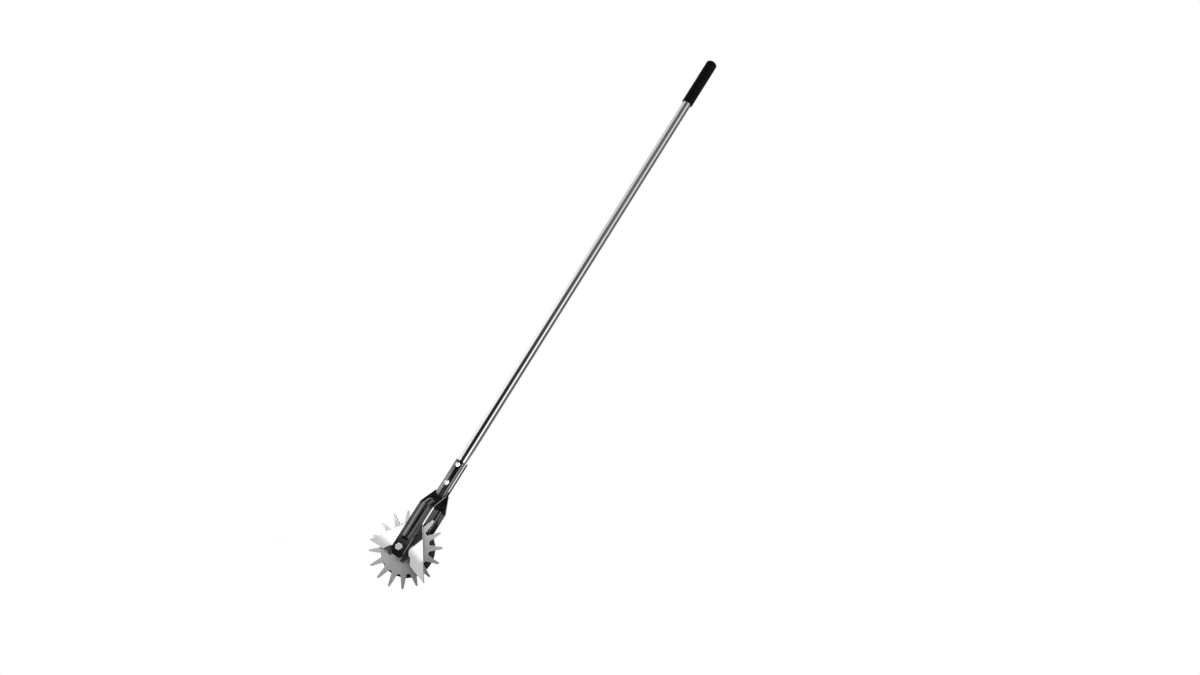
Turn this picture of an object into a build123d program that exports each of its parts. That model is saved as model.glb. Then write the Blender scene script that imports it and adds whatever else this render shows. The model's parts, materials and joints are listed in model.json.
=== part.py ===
from build123d import *
import os
from math import atan2, cos, hypot, radians, sin, sqrt

# A rolling grass trimmer: a toothed star wheel that rolls behind a fixed V-shaped blade, held
# between the arms of a pressed steel fork at the foot of a long tube. Sizes in millimetres.
# The origin is the middle of the hand grip, +Z runs up the handle, and +Y runs along the axle
# away from the blade. Every height and depth below is measured from the middle of the axle.

# Handle tube and grip
TUBE_R = 11.0
TUBE_WALL = 1.2
TUBE_FOOT = 142.0
GRIP_START = 1190.0
GRIP_LENGTH = 126.0
GRIP_WALL = 2.2
GRIP_END_WALL = 4.0
GRIP_END_ROUND = 6.0
GRIP_MOUTH_ROUND = 0.8

# Fork: two mirrored pressings, one on each side of the wheel
SHEET = 3.0
ARM_FACE = 41.5
ARM_WIDTH = 30.5
ARM_END = 18.5
ARM_LEFT_CUT = 10.0
ARM_RIGHT_CUT = 3.0
SHOULDER_ROUND = 6.0
CROWN_RISE = 34.6
SEAM_GAP = 15.0
TUBE_FOOT_GAP = 8.4
SOCKET_LENGTH = 76.4
SOCKET_ROOT_ROUND = 1.5
RIB_WIDTH = 17.0
RIB_HEIGHT = 4.0
RIB_FOOT = 15.0
RIB_ON_CROWN = 22.0

# Bolts through the socket
SOCKET_BOLT_RISES = (23.7, 67.0)
SOCKET_BOLT_R = 3.0
SOCKET_HEAD_R = 5.4
SOCKET_HEAD_HEIGHT = 3.2
SOCKET_SEAT_DEPTH = 0.9
SOCKET_WASHER_R = 6.0
SOCKET_WASHER_THICKNESS = 1.6
SOCKET_NUT_FLATS = 10.0
SOCKET_NUT_HEIGHT = 5.0
BOLT_TAIL = 2.5

# Axle bolt, sleeve and washers
AXLE_BOLT_R = 4.0
AXLE_HEAD_FLATS = 13.0
AXLE_HEAD_HEIGHT = 5.3
AXLE_NUT_HEIGHT = 8.0
AXLE_WASHER_R = 8.0
AXLE_WASHER_THICKNESS = 1.6
SLEEVE_R = 6.0
THRUST_WASHER_R = 11.0
THRUST_WASHER_THICKNESS = 1.5

# Star wheel
STAR_TEETH = 16
STAR_TIP_R = 80.0
STAR_ROOT_R = 51.0
STAR_SHEET = 2.0
STAR_FACE = -9.0
STAR_PHASE = 8.6
TOOTH_ROOT_WIDTH = 13.6
TOOTH_TIP_R = 2.2
TOOTH_ROOT_ROUND = 2.0

# Fixed blade: a flat pad on the axle and two wings that lean back to the star wheel. Its V lies off centre
BLADE_SHEET = 1.6
BLADE_STAR_GAP = 0.3
BLADE_PAD_BACK = -18.5
BLADE_OVERHANG = 4.0
BLADE_APEX = (-7.3, 74.7)
BLADE_EDGE_ANGLE = 36.9
BLADE_BEND_R = 11.0
BLADE_FOOT_SHIFT = -3.0
BLADE_CORNER = (36.0, -21.9)
BLADE_NOTCH = (25.7, -7.2)
BLADE_NOTCH_ROUND = 5.0
BLADE_GRIND = 45.0
BLADE_LAND = 0.6
BLADE_PAD_R = 15.0
BLADE_APEX_ROUND = 4.0

# Lock plate between the blade and its spacer
LOCK_SHEET = 2.0
LOCK_TOP = 12.0
LOCK_TOP_WIDTH = 26.0
LOCK_WIDTH = 42.0
LOCK_FLARE = -10.0
LOCK_FOOT = -24.5
LOCK_EAR_WIDTH = 8.5
LOCK_NOTCH_TOP = -16.5
LOCK_ROUND = 1.0
SPACER_R = 8.0

# Wheel core, tyre, bushes and rivets
TYRE_R = 55.0
TYRE_WIDTH = 28.0
TYRE_STAR_GAP = 0.5
TREAD_RIBS = 72
TREAD_DEPTH = 1.5
TREAD_TOP_SHARE = 0.42
TREAD_FOOT_SHARE = 0.60
RIM_R = 46.0
RIM_WALL = 4.0
WEB_WALL = 4.0
HUB_R = 11.0
SPOKES = 8
SPOKE_WALL = 2.5
SPOKE_INSET = 5.0
BUSH_R = 8.0
BUSH_LENGTH = 14.0
RIVETS = 4
RIVET_PITCH_R = 17.0
RIVET_TURN = 45.0
RIVET_R = 2.0
RIVET_HEAD_R = 3.6
RIVET_HEAD_HEIGHT = 1.6

# Clearances, on the radius unless an end gap is meant
SLIP_GAP = 0.05
THREAD_GAP = 0.02
RUNNING_GAP = 0.06
BOLT_GAP = 0.2
HUB_RELIEF = 0.6
END_GAP = 0.2

# Places that follow from the sizes above
CROWN_TOP = TUBE_FOOT - TUBE_FOOT_GAP
SHOULDER = CROWN_TOP - CROWN_RISE
SOCKET_TOP = CROWN_TOP + SOCKET_LENGTH
SOCKET_BOLT_HEIGHTS = [CROWN_TOP + rise for rise in SOCKET_BOLT_RISES]
REACH = 2 * SOCKET_TOP
FOLD = (-ARM_FACE, SHOULDER)
SEAM = (-SEAM_GAP / 2, CROWN_TOP)
CROWN_LENGTH = hypot(SEAM[0] - FOLD[0], SEAM[1] - FOLD[1])
CROWN_RUN = ((SEAM[0] - FOLD[0]) / CROWN_LENGTH, (SEAM[1] - FOLD[1]) / CROWN_LENGTH)
CROWN_IN = (CROWN_RUN[1], -CROWN_RUN[0])
ARM_INSIDE = ARM_FACE - SHEET
SOCKET_BORE_R = TUBE_R + SLIP_GAP
SOCKET_R = SOCKET_BORE_R + SHEET
SOCKET_SEAT = SOCKET_R - SOCKET_SEAT_DEPTH
GRIP_R = TUBE_R + SLIP_GAP + GRIP_WALL
GRIP_END = GRIP_START + GRIP_LENGTH
HOLD_HEIGHT = GRIP_START + (GRIP_LENGTH - GRIP_END_ROUND) / 2
STAR_BACK = STAR_FACE + STAR_SHEET
BLADE_PAD_FACE = BLADE_PAD_BACK - BLADE_SHEET
BLADE_TIP_R = STAR_TIP_R + BLADE_OVERHANG
EDGE_ACROSS = cos(radians(BLADE_EDGE_ANGLE))
EDGE_UP = sin(radians(BLADE_EDGE_ANGLE))
LOCK_FACE = BLADE_PAD_FACE - LOCK_SHEET
HUB_NEAR = BLADE_PAD_BACK + THRUST_WASHER_THICKNESS + END_GAP
HUB_FAR = ARM_INSIDE - THRUST_WASHER_THICKNESS - END_GAP
WEB_BACK = STAR_BACK + WEB_WALL
TYRE_NEAR = STAR_BACK + TYRE_STAR_GAP
TYRE_FAR = TYRE_NEAR + TYRE_WIDTH
BOLT_HOLE_R = AXLE_BOLT_R + BOLT_GAP


def slab(profile, near, far):
    """A profile drawn in X and Z, as a plate between two depths along the axle."""
    sheet = Plane((0, far, 0), x_dir=(1, 0, 0), z_dir=(0, -1, 0))
    return extrude(sheet * profile, far - near)


def ring(outer_r, inner_r, near, far):
    """A round sleeve or washer on the axle."""
    return slab(Circle(outer_r) - Circle(inner_r), near, far)


def towards_near(depth, solid):
    """Turns a solid built along +Z to point at the blade side, from a depth on the axle."""
    return Plane((0, depth, 0), x_dir=(1, 0, 0), z_dir=(0, -1, 0)) * solid


def towards_far(depth, solid):
    """Turns a solid built along +Z to point at the side away from the blade."""
    return Plane((0, depth, 0), x_dir=(1, 0, 0), z_dir=(0, 1, 0)) * solid


def upright_tube(outer_r, inner_r, foot, top):
    """A round tube along the handle."""
    return Pos(0, 0, foot) * extrude(Circle(outer_r) - Circle(inner_r), top - foot)


def half_space(point, inward):
    """A large block that fills one side of a plane."""
    block = Box(2 * REACH, 2 * REACH, REACH, align=(Align.CENTER, Align.CENTER, Align.MIN))
    return Plane(point, z_dir=inward) * block


def dome(base_r, height):
    """A round bolt or rivet head, flat side down on the origin."""
    ball_r = (base_r**2 + height**2) / (2 * height)
    return Pos(0, 0, height - ball_r) * Sphere(ball_r) & half_space((0, 0, 0), (0, 0, 1))


def hex_block(flats, height):
    """A hexagon bolt head or nut with its outer corners turned off, from the origin up."""
    corner_r = flats / sqrt(3)
    turned = Cylinder(corner_r, height, align=(Align.CENTER, Align.CENTER, Align.MIN))
    turned = chamfer(turned.edges().sort_by(Axis.Z)[-1], corner_r - flats / 2)
    prism = extrude(RegularPolygon(corner_r, 6), height)
    return prism & turned


def rod(radius, length):
    """A plain rod from the origin up."""
    return Cylinder(radius, length, align=(Align.CENTER, Align.CENTER, Align.MIN))


def bullet(radius, length):
    """A rod along +Z whose lower end is a half ball about the origin."""
    nose = CenterArc((0, 0), radius, -90, 90)
    side = Line((radius, 0), (radius, length))
    top = Line((radius, length), (0, length))
    core = Line((0, length), (0, -radius))
    return revolve(Plane.XZ * make_face([nose, side, top, core]), Axis.Z)


def fold_at(depth):
    """The fold between arm and crown, moved in from the outer face of both by a depth."""
    share = depth / (1 + CROWN_IN[0])
    return (FOLD[0] + share * (1 + CROWN_IN[0]), FOLD[1] + share * CROWN_IN[1])


def crown_at(depth, y):
    """The point of the crown, a depth below its outer face, that lies at y."""
    start = fold_at(depth)
    return (y, start[1] + (y - start[0]) * CROWN_RUN[1] / CROWN_RUN[0])


def side_prism(outline, width):
    """An outline drawn in Y and Z, made as wide as given about the mid-plane."""
    return extrude(Plane.YZ * outline, width / 2, both=True)


def fork_front():
    """The shape of a fork half seen along the axle: clipped arm, tapered crown and straight socket."""
    half = ARM_WIDTH / 2
    foot = -ARM_END
    right = [(half - ARM_RIGHT_CUT, foot), (half, foot + ARM_RIGHT_CUT), (half, SHOULDER)]
    top = [(SOCKET_R, CROWN_TOP), (SOCKET_R, SOCKET_TOP), (-SOCKET_R, SOCKET_TOP), (-SOCKET_R, CROWN_TOP)]
    left = [(-half, SHOULDER), (-half, foot + ARM_LEFT_CUT), (-half + ARM_LEFT_CUT, foot)]
    return slab(make_face(Polyline(*right, *top, *left, close=True)), -ARM_FACE, 0)


def fork_strip():
    """The folded strip of one fork half: the arm and the sloping crown."""
    foot = -ARM_END
    inner_fold = fold_at(SHEET)
    inner_seam = crown_at(SHEET, SEAM[0])
    outline = make_face(Polyline(
        (-ARM_FACE, foot), FOLD, SEAM, inner_seam, inner_fold, (-ARM_INSIDE, foot), close=True))
    outline = fillet(outline.vertices().sort_by_distance((*FOLD, 0))[0], SHOULDER_ROUND)
    outline = fillet(outline.vertices().sort_by_distance((*inner_fold, 0))[0], SHOULDER_ROUND - SHEET)
    return side_prism(outline, ARM_WIDTH) & fork_front()


def fork_inside():
    """The space under the crown and between the arms, on the blade side of the mid-plane."""
    seam = crown_at(SHEET, SEAM[0])
    outline = make_face(Polyline(
        (-ARM_INSIDE, -REACH), fold_at(SHEET), seam, (0, seam[1]), (0, -REACH), close=True))
    return side_prism(outline, REACH)


def rib_rods(depth):
    """Two round-ended rods, mitred at the fold, whose outside is the rib a depth into the sheet."""
    bow_r = ((RIB_WIDTH / 2)**2 + RIB_HEIGHT**2) / (2 * RIB_HEIGHT)
    axis_depth = bow_r - RIB_HEIGHT
    corner = fold_at(axis_depth)
    foot = (0, corner[0], RIB_FOOT + RIB_WIDTH / 2)
    along = RIB_ON_CROWN - RIB_WIDTH / 2
    head = (0, FOLD[0] + along * CROWN_RUN[0] + axis_depth * CROWN_IN[0],
            FOLD[1] + along * CROWN_RUN[1] + axis_depth * CROWN_IN[1])
    mitre = (0, CROWN_RUN[0], 1 + CROWN_RUN[1])
    lower = Plane(foot, z_dir=(0, 0, 1)) * bullet(bow_r - depth, SHOULDER)
    upper = Plane(head, z_dir=(0, -CROWN_RUN[0], -CROWN_RUN[1])) * bullet(bow_r - depth, CROWN_LENGTH)
    point = (0, *corner)
    lower = lower & half_space(point, (0, -mitre[1], -mitre[2]))
    upper = upper & half_space(point, mitre)
    return lower + upper


def socket_wall():
    """The half-round socket of one fork half, with the top of the crown round its blended root."""
    wall = half_space((0, *FOLD), (0, *CROWN_IN)) + Pos(0, 0, SHOULDER) * rod(SOCKET_R, SOCKET_TOP - SHOULDER)
    root = wall.edges().sort_by_distance((0, *crown_at(0, -SOCKET_R)))[0]
    wall = fillet(root, SOCKET_ROOT_ROUND)
    brow = crown_at(0, -SOCKET_R - 2 * SOCKET_ROOT_ROUND)
    wall = wall & half_space((0, *brow), (0, *CROWN_RUN)) & half_space((0, SEAM[0], 0), (0, -1, 0))
    wall = wall & fork_front()
    for height in SOCKET_BOLT_HEIGHTS:
        seat = towards_near(-SOCKET_SEAT, rod(SOCKET_WASHER_R + BOLT_GAP, REACH))
        wall = wall - Pos(0, 0, height) * seat
    return wall


def near_fork_half():
    """The fork half on the blade side: arm, crown, rib and half-round socket in one sheet."""
    inside = fork_inside()
    half = fork_strip() + (rib_rods(0) - inside) + (socket_wall() - inside)
    half = half - Pos(0, 0, SHOULDER) * rod(SOCKET_BORE_R, SOCKET_TOP - SHOULDER)
    half = half - rib_rods(SHEET)
    half = half - towards_near(0, rod(BOLT_HOLE_R, REACH))
    for height in SOCKET_BOLT_HEIGHTS:
        half = half - Pos(0, 0, height) * towards_near(0, rod(SOCKET_BOLT_R + BOLT_GAP, REACH))
    return half


def far_fork_half():
    """The fork half on the other side, pressed as a mirror image."""
    return mirror(near_fork_half(), about=Plane.XZ)


def handle_tube():
    """The long tube, drilled across for the socket bolts."""
    tube = upright_tube(TUBE_R, TUBE_R - TUBE_WALL, TUBE_FOOT, GRIP_END - GRIP_END_WALL)
    for height in SOCKET_BOLT_HEIGHTS:
        hole = towards_near(TUBE_R, rod(SOCKET_BOLT_R + BOLT_GAP, 2 * TUBE_R))
        tube = tube - Pos(0, 0, height) * hole
    return tube


def hand_grip():
    """The closed sleeve on the top of the tube."""
    body = Pos(0, 0, GRIP_START) * rod(GRIP_R, GRIP_LENGTH)
    body = fillet(body.edges().sort_by(Axis.Z)[-1], GRIP_END_ROUND)
    body = fillet(body.edges().sort_by(Axis.Z)[0], GRIP_MOUTH_ROUND)
    return body - Pos(0, 0, GRIP_START) * rod(TUBE_R + SLIP_GAP, GRIP_LENGTH - GRIP_END_WALL)


def socket_bolts():
    """Round-headed bolts through socket and tube, heads on the blade side."""
    tail = SOCKET_SEAT + SOCKET_WASHER_THICKNESS + SOCKET_NUT_HEIGHT + BOLT_TAIL
    bolt = towards_near(-SOCKET_SEAT, dome(SOCKET_HEAD_R, SOCKET_HEAD_HEIGHT))
    bolt = bolt + towards_far(-SOCKET_SEAT, rod(SOCKET_BOLT_R, SOCKET_SEAT + tail))
    return Compound([Pos(0, 0, height) * bolt for height in SOCKET_BOLT_HEIGHTS])


def socket_washers():
    """Washers under the nuts of the socket bolts."""
    far = SOCKET_SEAT + SOCKET_WASHER_THICKNESS
    washer = ring(SOCKET_WASHER_R, SOCKET_BOLT_R + BOLT_GAP, SOCKET_SEAT, far)
    return Compound([Pos(0, 0, height) * washer for height in SOCKET_BOLT_HEIGHTS])


def socket_nuts():
    """Nuts of the socket bolts."""
    nut = hex_block(SOCKET_NUT_FLATS, SOCKET_NUT_HEIGHT)
    nut = nut - rod(SOCKET_BOLT_R + THREAD_GAP, SOCKET_NUT_HEIGHT)
    nut = towards_far(SOCKET_SEAT + SOCKET_WASHER_THICKNESS, nut)
    return Compound([Pos(0, 0, height) * nut for height in SOCKET_BOLT_HEIGHTS])


def axle_bolt():
    """The hexagon bolt that the wheel turns about and that holds the blade."""
    tail = ARM_FACE + AXLE_WASHER_THICKNESS + AXLE_NUT_HEIGHT + BOLT_TAIL
    head = towards_near(-ARM_FACE, hex_block(AXLE_HEAD_FLATS, AXLE_HEAD_HEIGHT))
    return head + towards_far(-ARM_FACE, rod(AXLE_BOLT_R, ARM_FACE + tail))


def axle_washer():
    """The washer under the axle nut."""
    return ring(AXLE_WASHER_R, BOLT_HOLE_R, ARM_FACE, ARM_FACE + AXLE_WASHER_THICKNESS)


def axle_nut():
    """The locking nut on the far end of the axle bolt."""
    nut = hex_block(AXLE_HEAD_FLATS, AXLE_NUT_HEIGHT)
    nut = nut - rod(AXLE_BOLT_R + THREAD_GAP, AXLE_NUT_HEIGHT)
    return towards_far(ARM_FACE + AXLE_WASHER_THICKNESS, nut)


def axle_sleeve():
    """The tube, clamped from blade pad to far arm, that the bushes run on."""
    return ring(SLEEVE_R, BOLT_HOLE_R, BLADE_PAD_BACK, ARM_INSIDE)


def blade_spacer():
    """The short tube between near arm and lock plate."""
    return ring(SPACER_R, BOLT_HOLE_R, -ARM_INSIDE, LOCK_FACE)


def blade_lock_plate():
    """The plate that backs the blade pad, with two ears below the arm's end."""
    top, width = LOCK_TOP_WIDTH / 2, LOCK_WIDTH / 2
    ear = width - LOCK_EAR_WIDTH
    right = [(top, LOCK_TOP), (width, LOCK_FLARE), (width, LOCK_FOOT)]
    right += [(ear, LOCK_FOOT), (ear, LOCK_NOTCH_TOP)]
    left = [(-x, z) for x, z in reversed(right)]
    outline = make_face(Polyline(*right, *left, close=True))
    outline = Pos(BLADE_FOOT_SHIFT, 0) * fillet(outline.vertices(), LOCK_ROUND)
    return slab(outline - Circle(BOLT_HOLE_R), LOCK_FACE, BLADE_PAD_FACE)


def edge_reach(side):
    """How far one cutting edge of the blade passes from the axle."""
    return side * BLADE_APEX[0] * EDGE_ACROSS + BLADE_APEX[1] * EDGE_UP


def wing_lean(side):
    """The angle at which one wing leans back from the pad to the star."""
    return atan2(STAR_FACE - BLADE_STAR_GAP - BLADE_PAD_BACK, edge_reach(side) - BLADE_BEND_R)


def wing_points(side):
    """The tip, corner and notch of one wing, in X and Z."""
    reach = edge_reach(side)
    along = sqrt(BLADE_TIP_R**2 - reach**2)
    tip = (side * (reach * EDGE_ACROSS + along * EDGE_UP), reach * EDGE_UP - along * EDGE_ACROSS)
    return [tip] + [(BLADE_FOOT_SHIFT + side * x, z) for x, z in (BLADE_CORNER, BLADE_NOTCH)]


def blade_outline():
    """The blade seen along the axle: a V with its edges outside and a notch under the hub."""
    right, left = wing_points(1), wing_points(-1)
    outline = make_face(Polyline(BLADE_APEX, *right, *reversed(left), close=True)) + Circle(BLADE_PAD_R)
    for notch in (right[-1], left[-1]):
        outline = fillet(outline.vertices().sort_by_distance((*notch, 0))[0], BLADE_NOTCH_ROUND)
    outline = fillet(outline.vertices().sort_by_distance((*BLADE_APEX, 0))[0], BLADE_APEX_ROUND)
    return outline - Circle(BOLT_HOLE_R)


def behind_wing(side, reach, depth, lean):
    """All that lies behind a plane that leans back towards one cutting edge of the blade."""
    point = (side * reach * EDGE_ACROSS, depth, reach * EDGE_UP)
    return half_space(point, (-sin(lean) * side * EDGE_ACROSS, cos(lean), -sin(lean) * EDGE_UP))


def blade_front(depth):
    """Everything behind the blade's face, moved a depth into its sheet."""
    block = half_space((0, BLADE_PAD_FACE + depth, 0), (0, 1, 0))
    for side in (-1, 1):
        lean = wing_lean(side)
        back = BLADE_PAD_BACK - (BLADE_SHEET - depth) / cos(lean)
        block = block & behind_wing(side, BLADE_BEND_R, back, lean)
    return block


def shear_blade():
    """The fixed blade: a pad under the arm and wings whose ground edges lie against the star."""
    prism = slab(blade_outline(), BLADE_PAD_FACE - BLADE_SHEET, STAR_FACE)
    blade = prism & (blade_front(0) - blade_front(BLADE_SHEET))
    for side in (-1, 1):
        edge = STAR_FACE - BLADE_STAR_GAP - BLADE_LAND
        blade = blade & behind_wing(side, edge_reach(side), edge, wing_lean(side) + radians(BLADE_GRIND))
    return blade


def star_wheel():
    """The star: a flat disc with tapered, round-tipped teeth."""
    tip = Pos(0, STAR_TIP_R - TOOTH_TIP_R) * Circle(TOOTH_TIP_R)
    foot = STAR_ROOT_R - TOOTH_ROOT_ROUND
    root = Line((-TOOTH_ROOT_WIDTH / 2, foot), (TOOTH_ROOT_WIDTH / 2, foot))
    tooth = make_hull([*tip.edges(), root])
    outline = Sketch() + Circle(STAR_ROOT_R)
    for i in range(STAR_TEETH):
        outline = outline + Rot(0, 0, 180 + STAR_PHASE + 360 / STAR_TEETH * i) * tooth
    roots = [v for v in outline.vertices() if hypot(v.X, v.Y) < STAR_ROOT_R + TOOTH_ROOT_ROUND]
    outline = fillet(roots, TOOTH_ROOT_ROUND)
    outline = outline - Circle(HUB_R + SLIP_GAP) - rivet_spots(RIVET_R + SLIP_GAP)
    return slab(outline, STAR_FACE, STAR_BACK)


def rivet_spots(radius):
    """Circles at the places of the rivets."""
    return [loc * Circle(radius) for loc in PolarLocations(RIVET_PITCH_R, RIVETS, RIVET_TURN)]


def wheel_core():
    """The moulded wheel: hub, web, rim and spokes behind the star."""
    core = ring(HUB_R, SLEEVE_R + HUB_RELIEF, HUB_NEAR, HUB_FAR)
    core = core + ring(RIM_R - RIM_WALL / 2, HUB_R - SLIP_GAP, STAR_BACK, WEB_BACK)
    core = core + ring(RIM_R, RIM_R - RIM_WALL, STAR_BACK, TYRE_FAR)
    spoke = Pos((HUB_R + RIM_R - RIM_WALL) / 2, 0) * Rectangle(RIM_R - HUB_R, SPOKE_WALL)
    for i in range(SPOKES):
        turn = RIVET_TURN + 360 / SPOKES * (i + 1 / 2)
        core = core + slab(Rot(0, 0, turn) * spoke, STAR_BACK, TYRE_FAR - SPOKE_INSET)
    for near, far in ((HUB_NEAR, HUB_NEAR + BUSH_LENGTH), (HUB_FAR - BUSH_LENGTH, HUB_FAR)):
        core = core - slab(Circle(BUSH_R + SLIP_GAP), near, far)
    for spot in rivet_spots(RIVET_R + SLIP_GAP):
        core = core - slab(spot, STAR_BACK, WEB_BACK)
    return core


def wheel_tyre():
    """The rubber tyre with straight ribs across its tread."""
    pitch = 360 / TREAD_RIBS
    foot_r = TYRE_R - TREAD_DEPTH
    points = []
    for i in range(TREAD_RIBS):
        for r, share in ((foot_r, -TREAD_FOOT_SHARE), (TYRE_R, -TREAD_TOP_SHARE),
                         (TYRE_R, TREAD_TOP_SHARE), (foot_r, TREAD_FOOT_SHARE)):
            turn = radians(pitch * (i + share / 2))
            points.append((r * cos(turn), r * sin(turn)))
    tread = make_face(Polyline(*points, close=True))
    return slab(tread - Circle(RIM_R + SLIP_GAP), TYRE_NEAR, TYRE_FAR)


def star_rivets():
    """Rivets that hold the star to the wheel core."""
    rivet = towards_near(STAR_FACE, dome(RIVET_HEAD_R, RIVET_HEAD_HEIGHT))
    rivet = rivet + towards_far(STAR_FACE, rod(RIVET_R, WEB_BACK - STAR_FACE))
    rivet = rivet + towards_far(WEB_BACK, dome(RIVET_HEAD_R, RIVET_HEAD_HEIGHT))
    places = PolarLocations(RIVET_PITCH_R, RIVETS, RIVET_TURN)
    return Compound([Pos(place.position.X, 0, place.position.Y) * rivet for place in places])


NODES = {
    "handle_tube": handle_tube(),
    "hand_grip": hand_grip(),
    "near_fork_half": near_fork_half(),
    "far_fork_half": far_fork_half(),
    "socket_bolts": socket_bolts(),
    "socket_washers": socket_washers(),
    "socket_nuts": socket_nuts(),
    "axle_bolt": axle_bolt(),
    "axle_washer": axle_washer(),
    "axle_nut": axle_nut(),
    "axle_sleeve": axle_sleeve(),
    "blade_spacer": blade_spacer(),
    "blade_lock_plate": blade_lock_plate(),
    "shear_blade": shear_blade(),
    "near_thrust_washer": ring(
        THRUST_WASHER_R, SLEEVE_R + SLIP_GAP, BLADE_PAD_BACK, BLADE_PAD_BACK + THRUST_WASHER_THICKNESS),
    "far_thrust_washer": ring(
        THRUST_WASHER_R, SLEEVE_R + SLIP_GAP, ARM_INSIDE - THRUST_WASHER_THICKNESS, ARM_INSIDE),
    "star_wheel": star_wheel(),
    "wheel_core": wheel_core(),
    "wheel_tyre": wheel_tyre(),
    "near_bush": ring(BUSH_R, SLEEVE_R + RUNNING_GAP, HUB_NEAR, HUB_NEAR + BUSH_LENGTH),
    "far_bush": ring(BUSH_R, SLEEVE_R + RUNNING_GAP, HUB_FAR - BUSH_LENGTH, HUB_FAR),
    "star_rivets": star_rivets(),
}

os.makedirs("parts", exist_ok=True)
for name, solid in NODES.items():
    export_step(Pos(0, 0, -HOLD_HEIGHT) * solid, f"parts/{name}.step")
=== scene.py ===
import json
from math import cos, pi, radians, sin

import bpy
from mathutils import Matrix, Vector


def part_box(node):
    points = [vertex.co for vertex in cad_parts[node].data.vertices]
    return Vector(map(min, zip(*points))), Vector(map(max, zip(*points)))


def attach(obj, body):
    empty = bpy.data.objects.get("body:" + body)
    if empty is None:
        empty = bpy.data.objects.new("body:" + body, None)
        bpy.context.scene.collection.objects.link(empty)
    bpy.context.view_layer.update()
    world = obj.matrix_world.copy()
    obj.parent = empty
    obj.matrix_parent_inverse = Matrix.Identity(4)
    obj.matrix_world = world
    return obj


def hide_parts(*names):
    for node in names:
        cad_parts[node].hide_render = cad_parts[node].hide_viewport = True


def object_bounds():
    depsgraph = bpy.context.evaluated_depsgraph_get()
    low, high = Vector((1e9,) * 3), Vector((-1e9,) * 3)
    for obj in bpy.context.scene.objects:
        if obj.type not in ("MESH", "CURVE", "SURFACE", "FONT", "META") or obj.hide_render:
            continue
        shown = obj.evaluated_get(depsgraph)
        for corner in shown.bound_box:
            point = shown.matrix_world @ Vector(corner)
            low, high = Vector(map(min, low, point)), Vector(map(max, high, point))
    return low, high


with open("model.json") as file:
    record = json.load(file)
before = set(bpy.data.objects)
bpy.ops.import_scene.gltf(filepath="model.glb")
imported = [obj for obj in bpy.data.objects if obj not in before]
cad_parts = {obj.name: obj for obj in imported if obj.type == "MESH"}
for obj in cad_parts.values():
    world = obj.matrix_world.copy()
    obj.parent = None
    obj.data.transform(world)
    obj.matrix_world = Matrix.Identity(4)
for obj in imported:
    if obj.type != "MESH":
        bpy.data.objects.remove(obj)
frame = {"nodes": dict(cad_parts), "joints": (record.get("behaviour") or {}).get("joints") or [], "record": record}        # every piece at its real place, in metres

# A rolling grass trimmer, upright on its wheel: the finish of every piece, the moulded tyre, a white studio
# and a camera near the ground, rolled so that the handle leans across the picture.

CAD_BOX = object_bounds()
MM = 0.001
NODES = frame["nodes"]
AXLE = Vector(frame["joints"][0]["pos_m"])
FLOOR_HEIGHT = CAD_BOX[0].z

# Camera: its place from the axle, lens and sensor in millimetres, and its turn about X, Y and Z in degrees
CAMERA_PLACE = Vector((771, -1782, 142)) * MM
CAMERA_TURN = (105.35, -30.45, 12.17)
CAMERA_LENS = 27.0
CAMERA_SENSOR = 36.0

# Tyre: straight moulded ribs across a rounded tread, in millimetres
TYRE_RIBS = 72
TYRE_BORE_GAP = 0.05
SHOULDER_ROUNDING = 1.2
RIB_HEIGHT = 1.5
RIB_SUNK = 0.5
RIB_TOP_WIDTH = 2.0
RIB_FOOT_WIDTH = 2.8
RIB_ROUNDING = 0.35
RIB_END_GAP = 2.2

# Steps round the tread, a shoulder and a rib's corner, and the degrees past which an edge stays sharp
TREAD_STEPS = 144
SHOULDER_STEPS = 4
RIB_STEPS = 2
SHARP_ANGLE = 40

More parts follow.
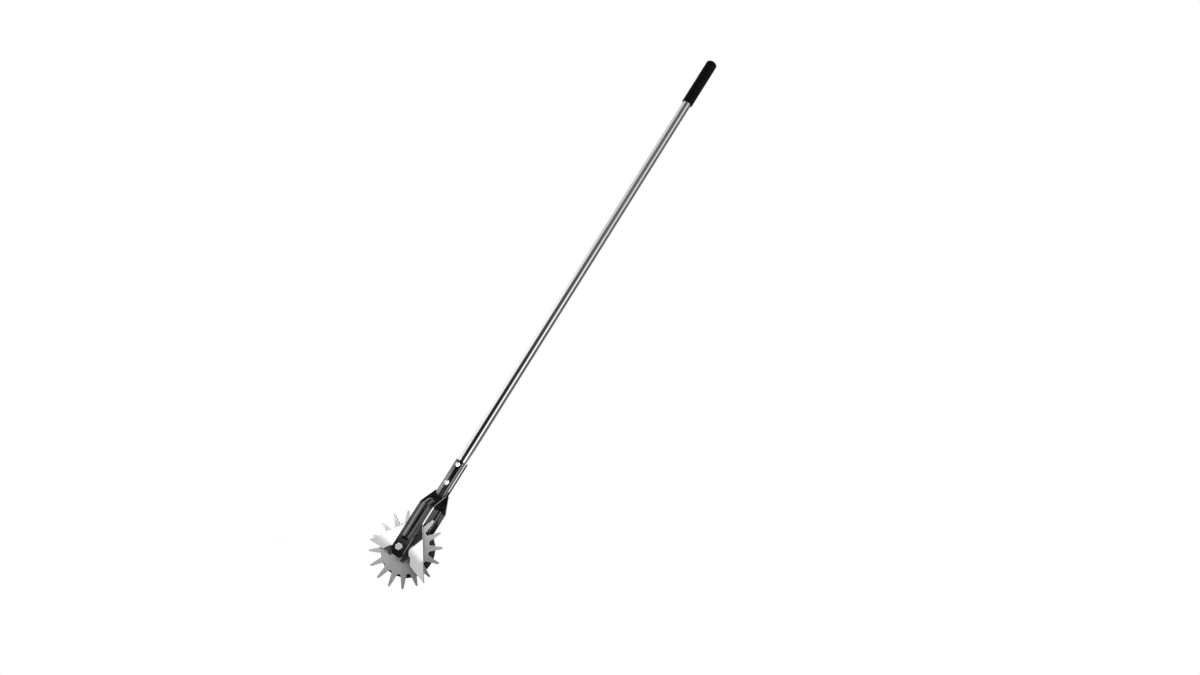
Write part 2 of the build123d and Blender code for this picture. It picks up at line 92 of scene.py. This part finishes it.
# Studio: lamps that light the tool, and bright and dark cards that only its shiny faces mirror
# Each stands at a bearing from the camera in degrees, a distance from the handle and a height over the axle
# in metres. It has a width and a height in metres, a glow, and the shares of its width and height over which
# it fades out at its edges. Some lean back, or roll on their own face, by an angle in degrees.
LAMPS = {
    "left_lamp": {"at": (-84, 0.23, 0.03), "size": (0.14, 0.16), "glow": 17.5, "fade": (0.3, 0.3)},
    "right_lamp": {"at": (40, 0.19, 0.15), "size": (0.14, 0.16), "lean": 30, "glow": 31, "fade": (0.3, 0.3)},
    "back_lamp": {"at": (150, 0.6, 0.3), "size": (0.4, 0.4), "lean": 20, "glow": 8, "fade": (0.3, 0.3)},
}
CARDS = {
    "left_box": {"at": (-104, 1.4, 0.7), "size": (1.9, 1.3), "glow": 1.2, "fade": (0.25, 0.35)},
    "left_upper_box": {"at": (-104, 1.45, 1.4), "size": (1.9, 2.4), "glow": 0.7, "fade": (0.25, 0.05)},
    "rib_card": {"at": (-98, 1.35, 0.0), "size": (2.6, 0.3), "glow": 2.0, "fade": (0.3, 0.3)},
    "socket_card": {"at": (-80, 1.3, 0.165), "size": (2.1, 0.16), "glow": 2.9, "fade": (0.22, 0.4)},
    "socket_strip": {"at": (36, 1.5, 0.195), "size": (0.75, 0.2), "glow": 2.7, "fade": (0.25, 0.3)},
    "left_wing_card": {"at": (-72.5, 0.6, 0.106), "size": (0.12, 0.088), "glow": 1.6, "fade": (0.2, 0.385)},
    "left_dimmer": {"at": (-72.5, 0.62, 0.068), "size": (0.13, 0.1), "glow": 0.7, "fade": (0.2, 0.2)},
    "right_box": {"at": (34, 1.6, 0.5), "size": (0.8, 2.0), "glow": 1.4, "fade": (0.25, 0.35)},
    "right_upper_box": {"at": (34, 1.65, 1.5), "size": (0.8, 2.6), "glow": 0.75, "fade": (0.25, 0.2)},
    "seam_card": {"at": (112, 1.45, 0.2), "size": (1.1, 0.22), "glow": 1.1, "fade": (0.1, 0.25)},
    "wing_card": {"at": (-12.1, 0.414, 0.148), "size": (0.046, 0.072), "roll": 16, "glow": 1.35,
                  "fade": (0.065, 0.3)},
    "wing_dimmer": {"at": (-11.2, 0.425, 0.11), "size": (0.1, 0.07), "glow": 0.7, "fade": (0.03, 0.15)},
    "arm_card": {"at": (-47, 1.9, 0.03), "size": (0.6, 0.2), "glow": 1.05, "fade": (0.3, 0.35)},
    "rib_flag": {"at": (-14, 1.3, 0.0), "size": (1.1, 0.16), "glow": 0.02, "fade": (0.15, 0.1)},
    "edge_flag": {"at": (128, 0.35, 0.025), "size": (0.22, 0.18), "glow": 0.25, "fade": (0.2, 0.15)},
    "upper_flag": {"at": (-22, 2.1, 1.9), "size": (3.7, 3.0), "glow": 0.18, "fade": (0.08, 0.5)},
    "front_flag": {"at": (-22, 2.2, 1.35), "size": (3.7, 3.3), "glow": 0.02, "fade": (0.08, 0.03)},
    "right_flag": {"at": (92, 1.6, 1.2), "size": (2.7, 2.6), "glow": 0.15, "fade": (0.1, 0.02)},
    "top_flag": {"at": (-110, 0.9, 2.2), "size": (1.6, 1.6), "lean": 90, "glow": 0.05, "fade": (0.1, 0.1)},
    "ground_flag": {"at": (-47, 0.6, -0.075), "size": (1.2, 2.6), "lean": 90, "glow": 0.05,
                    "fade": (0.25, 0.3)},
}

# Room: its white, its fill light, and its floor, whose shadow fades out between two distances in metres
WHITE = "#ffffff"
ROOM_FILL = 0.08
FLOOR_GREY = "#9a9a9a"
FLOOR_GLOW = 0.93
FLOOR_SIZE = 12.0
SHADOW_REACH = (0.15, 0.7)

# The part of a noise texture's range that a grain is spread over
NOISE_RANGE = (0.3, 0.7)


def linear(hex_colour, alpha=1.0):
    """An sRGB hex colour as linear red, green, blue and alpha."""
    shares = [int(hex_colour[i:i + 2], 16) / 255 for i in (1, 3, 5)]
    return [s / 12.92 if s <= 0.04045 else ((s + 0.055) / 1.055) ** 2.4 for s in shares] + [alpha]


def add(tree, kind, inputs=None, **settings):
    """Adds a node, sets its settings, and fills its inputs with values or with other nodes' outputs."""
    made = tree.nodes.new(kind)
    for name, value in settings.items():
        setattr(made, name, value)
    for key, value in (inputs or {}).items():
        if isinstance(value, bpy.types.NodeSocket):
            tree.links.new(value, made.inputs[key])
        else:
            made.inputs[key].default_value = value
    return made


def placed(name, data):
    """A new object in the scene, at the origin."""
    made = bpy.data.objects.new(name, data)
    bpy.context.scene.collection.objects.link(made)
    return made


def new_material(name):
    """An empty node material and its tree."""
    material = bpy.data.materials.new(name)
    material.use_nodes = True
    material.node_tree.nodes.clear()
    return material, material.node_tree


def surface(material, tree, shader_inputs):
    """Ends a material in one Principled shader."""
    shader = add(tree, "ShaderNodeBsdfPrincipled", shader_inputs)
    add(tree, "ShaderNodeOutputMaterial", {"Surface": shader.outputs["BSDF"]})
    return material


def per_metre(size_mm):
    """The scale of a pattern on coordinates in metres, from its size in millimetres."""
    return 1 / (size_mm * MM)


def grain(tree, low, high, size_mm, stretch=(1, 1, 1), detail=3.0):
    """Cloudy grain of a real size, longer along an axis by its stretch, as a value from low to high."""
    place = add(tree, "ShaderNodeTexCoord").outputs["Object"]
    squeeze = [1 / times for times in stretch]
    point = add(tree, "ShaderNodeMapping", {"Vector": place, "Scale": squeeze}).outputs["Vector"]
    cloud = add(tree, "ShaderNodeTexNoise", {"Vector": point, "Scale": per_metre(size_mm), "Detail": detail})
    spread = add(tree, "ShaderNodeMapRange", {
        "Value": cloud.outputs["Fac"], "From Min": NOISE_RANGE[0], "From Max": NOISE_RANGE[1],
        "To Min": low, "To Max": high})
    return spread.outputs["Result"]


def clouded(tree, first, second, size_mm):
    """A colour that drifts between two others in clouds of a real size."""
    share_in, first_in, second_in, colour_out = 0, 6, 7, 2    # a Mix node's sockets when it mixes colours
    colours = {share_in: grain(tree, 0, 1, size_mm), first_in: linear(first), second_in: linear(second)}
    return add(tree, "ShaderNodeMix", colours, data_type="RGBA").outputs[colour_out]


def relief(tree, size_mm, depth_mm, stretch=(1, 1, 1)):
    """Fine relief of a given grain size and depth, as a surface normal."""
    height = grain(tree, 0, 1, size_mm, stretch, detail=2.0)
    return add(tree, "ShaderNodeBump", {"Height": height, "Distance": depth_mm * MM}).outputs["Normal"]


def black_enamel():
    """Black stove enamel on pressed steel: a deep, wet gloss with a slight orange peel."""
    material, tree = new_material("black_stove_enamel")
    return surface(material, tree, {
        "Base Color": clouded(tree, "#060607", "#0b0b0c", size_mm=14),
        "Roughness": grain(tree, 0.1, 0.15, size_mm=9),
        "IOR": 1.6,
        "Coat Weight": 0.7,
        "Coat Roughness": 0.05,
        "Coat IOR": 1.6,
        "Normal": relief(tree, size_mm=6, depth_mm=0.004),
    })


def chrome_tube():
    """Bright chromium on a drawn tube: a mirror, faintly clouded in long streaks by polishing along it."""
    material, tree = new_material("bright_chromium")
    return surface(material, tree, {
        "Base Color": linear("#e0e1e2"),
        "Metallic": 1.0,
        "Roughness": grain(tree, 0.1, 0.16, size_mm=40, stretch=(1, 1, 5)),
    })


def black_vinyl():
    """Dipped black vinyl: soft, matt and faintly pebbled."""
    material, tree = new_material("dipped_black_vinyl")
    return surface(material, tree, {
        "Base Color": clouded(tree, "#070707", "#0c0c0c", size_mm=25),
        "Roughness": grain(tree, 0.5, 0.62, size_mm=8),
        "Specular IOR Level": 0.12,
        # The pebbles are drawn coarser than real ones of about 0.5 mm, so that they show
        "Normal": relief(tree, size_mm=2.5, depth_mm=0.05),
    })


def bright_zinc():
    """Bright zinc plate: pale metal with a soft, cloudy gloss."""
    material, tree = new_material("bright_zinc_plate")
    return surface(material, tree, {
        "Base Color": clouded(tree, "#e6e7e8", "#f4f5f5", size_mm=5),
        "Metallic": 0.3,
        "Roughness": grain(tree, 0.28, 0.34, size_mm=5, detail=1.0),
    })


def satin_steel():
    """Cold-rolled sheet with a satin ground face: a broad, soft sheen that dims away from the light."""
    material, tree = new_material("satin_ground_steel")
    return surface(material, tree, {
        "Base Color": clouded(tree, "#c0c1c2", "#cccdcd", size_mm=30),
        "Metallic": 0.35,
        # The grit's marks of about 0.1 mm are drawn as coarser clouds of sheen, so that they show
        "Roughness": grain(tree, 0.44, 0.5, size_mm=6),
    })


def polished_blade():
    """Polished spring steel: nearly a mirror, clouded by fine buffing."""
    material, tree = new_material("polished_spring_steel")
    return surface(material, tree, {
        "Base Color": clouded(tree, "#e0e1e2", "#e6e6e6", size_mm=18),
        "Metallic": 1.0,
        "Roughness": grain(tree, 0.02, 0.04, size_mm=30),
    })


def turned_steel():
    """Turned mild steel: grey metal with fine rings round the axle."""
    material, tree = new_material("turned_mild_steel")
    return surface(material, tree, {
        "Base Color": linear("#b4b5b6"),
        "Metallic": 1.0,
        # The rings are drawn coarser than a turning tool's feed of about 0.1 mm, so that they show
        "Roughness": grain(tree, 0.28, 0.4, size_mm=0.8),
        "Normal": relief(tree, size_mm=0.8, depth_mm=0.01, stretch=(20, 1, 20)),
    })


def black_oxide():
    """Black oxide on steel: dull dark grey with a cloudy, oily sheen."""
    material, tree = new_material("black_oxide_steel")
    return surface(material, tree, {
        "Base Color": clouded(tree, "#505154", "#626366", size_mm=8),
        "Metallic": 0.7,
        "Roughness": grain(tree, 0.38, 0.5, size_mm=8),
    })


def tyre_rubber():
    """Moulded black rubber: matt, a little paler and dusty where it wears."""
    material, tree = new_material("moulded_black_rubber")
    return surface(material, tree, {
        "Base Color": clouded(tree, "#0d0d0d", "#161616", size_mm=9),
        "Roughness": grain(tree, 0.55, 0.7, size_mm=9),
        "Specular IOR Level": 0.25,
        # The rubber's skin is drawn coarser than a real grain of about 0.3 mm, so that it shows
        "Normal": relief(tree, size_mm=1.5, depth_mm=0.04),
    })


def black_moulding():
    """Black polypropylene, moulded against a spark-eroded tool: even, fine and half matt."""
    material, tree = new_material("moulded_black_polypropylene")
    return surface(material, tree, {
        "Base Color": clouded(tree, "#101011", "#161617", size_mm=20),
        "Roughness": grain(tree, 0.42, 0.52, size_mm=3),
        # The eroded texture is drawn coarser than a real one of about 0.1 mm, so that it shows
        "Normal": relief(tree, size_mm=1, depth_mm=0.03),
    })


def white_nylon():
    """Natural nylon: milky white, waxy and half gloss."""
    material, tree = new_material("natural_nylon")
    return surface(material, tree, {
        "Base Color": clouded(tree, "#dedcd2", "#e9e8e1", size_mm=5),
        "Roughness": grain(tree, 0.35, 0.45, size_mm=5),
        "IOR": 1.53,
    })


def bronze():
    """Sintered bronze: brown-gold metal, open-grained and oily."""
    material, tree = new_material("sintered_bronze")
    # The grains are drawn coarser than real ones of about 0.1 mm, so that they show
    return surface(material, tree, {
        "Base Color": clouded(tree, "#8a6238", "#b3854f", size_mm=0.8),
        "Metallic": 1.0,
        "Roughness": grain(tree, 0.35, 0.5, size_mm=0.8),
    })


FINISHES = {
    "chrome_tube": chrome_tube, "black_vinyl": black_vinyl, "black_enamel": black_enamel,
    "bright_zinc": bright_zinc, "turned_steel": turned_steel, "dark_plate": black_oxide,
    "polished_blade": polished_blade, "satin_steel": satin_steel, "white_nylon": white_nylon,
    "black_moulding": black_moulding, "tyre_rubber": tyre_rubber, "bronze": bronze,
}
MATERIALS = {slot: make() for slot, make in FINISHES.items()}


def dress_nodes():
    """Gives each piece the finish that the record names for it."""
    for part in frame["record"]["subparts"]:
        piece = NODES[part["node"]]
        piece.data.materials.clear()
        piece.data.materials.append(MATERIALS[part["material_slot"]])


def tyre_sizes():
    """The tyre's sizes in metres, from the boxes of the CAD tyre and of the core that it sits on."""
    tyre_low, tyre_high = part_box("wheel_tyre")
    core_low, core_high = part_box("wheel_core")
    near, far = tyre_low.y, tyre_high.y
    tread_r = (tyre_high.x - tyre_low.x) / 2
    foot_r = tread_r - RIB_HEIGHT * MM
    bore_r = (core_high.x - core_low.x) / 2 + TYRE_BORE_GAP * MM
    rib_depth = (RIB_HEIGHT + RIB_SUNK) * MM
    rib_length = far - near - 2 * RIB_END_GAP * MM
    return {
        "Ribs": TYRE_RIBS,
        "Ring Radius": (foot_r + bore_r) / 2,
        "Ring Wall": foot_r - bore_r,
        "Ring Width": far - near,
        "Shoulder Rounding": SHOULDER_ROUNDING * MM,
        "Rib Circle Radius": tread_r - rib_depth / 2,
        "Rib Depth": rib_depth,
        "Rib Top Width": RIB_TOP_WIDTH * MM,
        "Rib Foot Width": RIB_FOOT_WIDTH * MM,
        "Rib Rounding": RIB_ROUNDING * MM,
        "Rib Length": rib_length,
        "Rib Start": (0, 0, -rib_length / 2),
        "Centre": (AXLE.x, (near + far) / 2, AXLE.z),
    }


def tyre_ring(tree, sizes):
    """The tyre's plain ring, with rounded shoulders."""
    section = add(tree, "GeometryNodeCurvePrimitiveQuadrilateral", {
        "Width": sizes["Ring Wall"], "Height": sizes["Ring Width"]})
    section = add(tree, "GeometryNodeFilletCurve", {
        "Curve": section.outputs["Curve"], "Radius": sizes["Shoulder Rounding"],
        "Count": SHOULDER_STEPS}, mode="POLY")
    hoop = add(tree, "GeometryNodeCurvePrimitiveCircle", {
        "Resolution": TREAD_STEPS, "Radius": sizes["Ring Radius"]}, mode="RADIUS")
    ring = add(tree, "GeometryNodeCurveToMesh", {
        "Curve": hoop.outputs["Curve"], "Profile Curve": section.outputs["Curve"]})
    return ring.outputs["Mesh"]


def tyre_rib(tree, sizes):
    """One rib across the tread, narrower at its top than at its foot."""
    section = add(tree, "GeometryNodeCurvePrimitiveQuadrilateral", {
        "Bottom Width": sizes["Rib Foot Width"], "Top Width": sizes["Rib Top Width"],
        "Height": sizes["Rib Depth"], "Offset": 0.0}, mode="TRAPEZOID")
    section = add(tree, "GeometryNodeFilletCurve", {
        "Curve": section.outputs["Curve"], "Radius": sizes["Rib Rounding"], "Count": RIB_STEPS}, mode="POLY")
    section = add(tree, "GeometryNodeTransform", {
        "Geometry": section.outputs["Curve"], "Rotation": (0, 0, -pi / 2)})
    across = add(tree, "GeometryNodeCurvePrimitiveLine", {
        "Start": sizes["Rib Start"], "Direction": (0, 0, 1),
        "Length": sizes["Rib Length"]}, mode="DIRECTION")
    rib = add(tree, "GeometryNodeCurveToMesh", {
        "Curve": across.outputs["Curve"], "Profile Curve": section.outputs["Geometry"], "Fill Caps": True})
    return rib.outputs["Mesh"]


def ribs_round_tread(tree, sizes):
    """The rib, repeated round the tread with its top outwards."""
    places = add(tree, "GeometryNodeMeshCircle", {
        "Vertices": sizes["Ribs"], "Radius": sizes["Rib Circle Radius"]})
    spot = add(tree, "GeometryNodeInputPosition").outputs["Position"]
    outwards = add(tree, "FunctionNodeAlignRotationToVector", {"Vector": spot}, axis="X", pivot_axis="Z")
    ribs = add(tree, "GeometryNodeInstanceOnPoints", {
        "Points": places.outputs["Mesh"], "Instance": tyre_rib(tree, sizes),
        "Rotation": outwards.outputs["Rotation"]})
    return ribs.outputs["Instances"]


def tyre_tree(sizes, material):
    """Geometry nodes for a ribbed tyre, with an input for each of its sizes."""
    socket_kinds = {int: "NodeSocketInt", float: "NodeSocketFloat", tuple: "NodeSocketVector"}
    tree = bpy.data.node_groups.new("ribbed_tyre", "GeometryNodeTree")
    tree.interface.new_socket("Geometry", in_out="OUTPUT", socket_type="NodeSocketGeometry")
    for name, value in sizes.items():
        tree.interface.new_socket(name, in_out="INPUT", socket_type=socket_kinds[type(value)])
    inputs = add(tree, "NodeGroupInput").outputs

    both = add(tree, "GeometryNodeJoinGeometry")
    for piece in (tyre_ring(tree, inputs), ribs_round_tread(tree, inputs)):
        tree.links.new(piece, both.inputs["Geometry"])
    stood = add(tree, "GeometryNodeTransform", {
        "Geometry": both.outputs["Geometry"], "Translation": inputs["Centre"], "Rotation": (-pi / 2, 0, 0)})
    real = add(tree, "GeometryNodeRealizeInstances", {"Geometry": stood.outputs["Geometry"]})
    dressed = add(tree, "GeometryNodeSetMaterial", {
        "Geometry": real.outputs["Geometry"], "Material": material})
    add(tree, "NodeGroupOutput", {"Geometry": dressed.outputs["Geometry"]})
    return tree


def ribbed_tyre():
    """The moulded tyre, in the place and to the size of its CAD piece."""
    rubber = MATERIALS["tyre_rubber"]
    sizes = tyre_sizes()
    tree = tyre_tree(sizes, rubber)
    holder = placed("tyre_holder", bpy.data.meshes.new("tyre_holder"))
    modifier = holder.modifiers.new("ribbed_tyre", "NODES")
    modifier.node_group = tree
    for socket in tree.interface.items_tree:
        if socket.in_out == "INPUT":
            modifier[socket.identifier] = sizes[socket.name]
    ready = bpy.context.evaluated_depsgraph_get()
    mesh = bpy.data.meshes.new_from_object(holder.evaluated_get(ready))
    holder.modifiers.remove(modifier)
    bpy.data.objects.remove(holder)
    mesh.name = "ribbed_tyre"
    mesh.materials.clear()
    mesh.materials.append(rubber)
    mesh.shade_smooth()
    mesh.set_sharp_from_angle(angle=radians(SHARP_ANGLE))
    piece = placed("ribbed_tyre", mesh)
    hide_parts("wheel_tyre")
    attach(piece, "wheel")


def looked_at(tree):
    """1 where the camera, a reflection or a see-through surface looks straight at this, and 0 elsewhere."""
    path = add(tree, "ShaderNodeLightPath").outputs
    seen = path["Is Camera Ray"]
    for ray in ("Is Glossy Ray", "Is Transmission Ray"):
        seen = add(tree, "ShaderNodeMath", {0: seen, 1: path[ray]}, operation="MAXIMUM").outputs[0]
    return seen


def white_room():
    """A white room that lights the tool evenly and no brighter than its colours need."""
    world = bpy.data.worlds.new("white_room")
    world.use_nodes = True
    tree = world.node_tree
    tree.nodes.clear()
    white = linear(WHITE)
    fill = add(tree, "ShaderNodeBackground", {"Color": white, "Strength": ROOM_FILL})
    seen = add(tree, "ShaderNodeBackground", {"Color": white, "Strength": 1.0})
    mixed = add(tree, "ShaderNodeMixShader", {
        "Fac": looked_at(tree), 1: fill.outputs["Background"], 2: seen.outputs["Background"]})
    add(tree, "ShaderNodeOutputWorld", {"Surface": mixed.outputs["Shader"]})
    bpy.context.scene.world = world


def flat_piece(name, corners, material):
    """A single flat face through its corners."""
    mesh = bpy.data.meshes.new(name)
    mesh.from_pydata([tuple(c) for c in corners], [], [tuple(range(len(corners)))])
    mesh.materials.append(material)
    return placed(name, mesh)


def floor_material():
    """Matt grey with a glow of its own, seen only straight on, that grows to white away from the wheel."""
    material, tree = new_material("white_floor")
    matt = add(tree, "ShaderNodeBsdfDiffuse", {"Color": linear(FLOOR_GREY)})
    place = add(tree, "ShaderNodeTexCoord").outputs["Object"]
    away = add(tree, "ShaderNodeVectorMath", {0: place}, operation="LENGTH").outputs["Value"]
    level = add(tree, "ShaderNodeMapRange", {
        "Value": away, "From Min": SHADOW_REACH[0], "From Max": SHADOW_REACH[1],
        "To Min": FLOOR_GLOW, "To Max": 1.0}, interpolation_type="SMOOTHSTEP").outputs["Result"]
    strength = add(tree, "ShaderNodeMath", {0: looked_at(tree), 1: level}, operation="MULTIPLY").outputs[0]
    glow = add(tree, "ShaderNodeEmission", {"Color": linear(WHITE), "Strength": strength})
    both = add(tree, "ShaderNodeAddShader", {0: matt.outputs["BSDF"], 1: glow.outputs["Emission"]})
    add(tree, "ShaderNodeOutputMaterial", {"Surface": both.outputs["Shader"]})
    return material


def white_floor():
    """A floor that keeps a faint shadow under the wheel and fades into the white room."""
    half = FLOOR_SIZE / 2
    corners = [(x, y, 0) for x, y in ((-half, -half), (half, -half), (half, half), (-half, half))]
    piece = flat_piece("floor", corners, floor_material())
    piece.location.z = FLOOR_HEIGHT


def soft_edge(tree, place, share):
    """1 inside a panel and 0 at two opposite edges, with a smooth fall over a share of its width."""
    middle = 0.5    # the panel's map runs from 0 to 1
    off = add(tree, "ShaderNodeMath", {0: place, 1: middle}, operation="SUBTRACT")
    off = add(tree, "ShaderNodeMath", {0: off.outputs[0]}, operation="ABSOLUTE")
    inputs = {"Value": off.outputs[0], "From Min": middle, "From Max": middle - share}
    return add(tree, "ShaderNodeMapRange", inputs, interpolation_type="SMOOTHSTEP").outputs["Result"]


def panel_material(name, glow, fade):
    """An even glow that fades out at the panel's edges."""
    material, tree = new_material(name)
    place = add(tree, "ShaderNodeTexCoord").outputs["UV"]
    axes = add(tree, "ShaderNodeSeparateXYZ", {"Vector": place}).outputs
    sides = [soft_edge(tree, axes[axis], share) for axis, share in zip("XY", fade)]
    inside = add(tree, "ShaderNodeMath", {0: sides[0], 1: sides[1]}, operation="MULTIPLY").outputs[0]
    light = add(tree, "ShaderNodeEmission", {"Color": linear(WHITE), "Strength": glow})
    clear = add(tree, "ShaderNodeBsdfTransparent")
    mixed = add(tree, "ShaderNodeMixShader", {
        "Fac": inside, 1: clear.outputs["BSDF"], 2: light.outputs["Emission"]})
    add(tree, "ShaderNodeOutputMaterial", {"Surface": mixed.outputs["Shader"]})
    return material


def studio_panel(name, at, size, glow, fade, lean=0, roll=0):
    """A flat panel beside the tool. The camera doesn't see it, and it casts no shadow."""
    bearing, distance, height = at
    to_camera = Vector((CAMERA_PLACE.x, CAMERA_PLACE.y, 0)).normalized()
    to_right = Vector((-to_camera.y, to_camera.x, 0))
    turn, tip = radians(bearing), radians(lean)
    out = cos(turn) * to_camera + sin(turn) * to_right
    across = cos(turn) * to_right - sin(turn) * to_camera
    centre = AXLE + out * distance + Vector((0, 0, height))
    up = Vector((0, 0, cos(tip))) + out * sin(tip)
    level, tilt = cos(radians(roll)), sin(radians(roll))
    half_across = (across * level - up * tilt) * size[0] / 2
    half_up = (up * level + across * tilt) * size[1] / 2
    signs = ((-1, -1), (1, -1), (1, 1), (-1, 1))
    corners = [centre + half_across * x + half_up * y for x, y in signs]
    piece = flat_piece(name, corners, panel_material(name, glow, fade))
    uv = piece.data.uv_layers.new(name="panel")
    for corner, (x, y) in zip(uv.data, signs):
        corner.uv = ((x + 1) / 2, (y + 1) / 2)
    piece.visible_camera = False
    piece.visible_shadow = False
    return piece


def photo_camera():
    """The camera at the photograph's place and turn."""
    data = bpy.data.cameras.new("camera")
    data.lens = CAMERA_LENS
    data.sensor_width = CAMERA_SENSOR
    data.sensor_fit = "HORIZONTAL"
    camera = placed("camera", data)
    camera.location = AXLE + CAMERA_PLACE
    camera.rotation_euler = [radians(angle) for angle in CAMERA_TURN]
    bpy.context.scene.camera = camera


dress_nodes()
ribbed_tyre()
white_room()
white_floor()
for panel_name, panel in LAMPS.items():
    studio_panel(panel_name, **panel).visible_glossy = False
for panel_name, panel in CARDS.items():
    studio_panel(panel_name, **panel).visible_diffuse = False
photo_camera()
bpy.context.scene.view_settings.view_transform = "Standard"
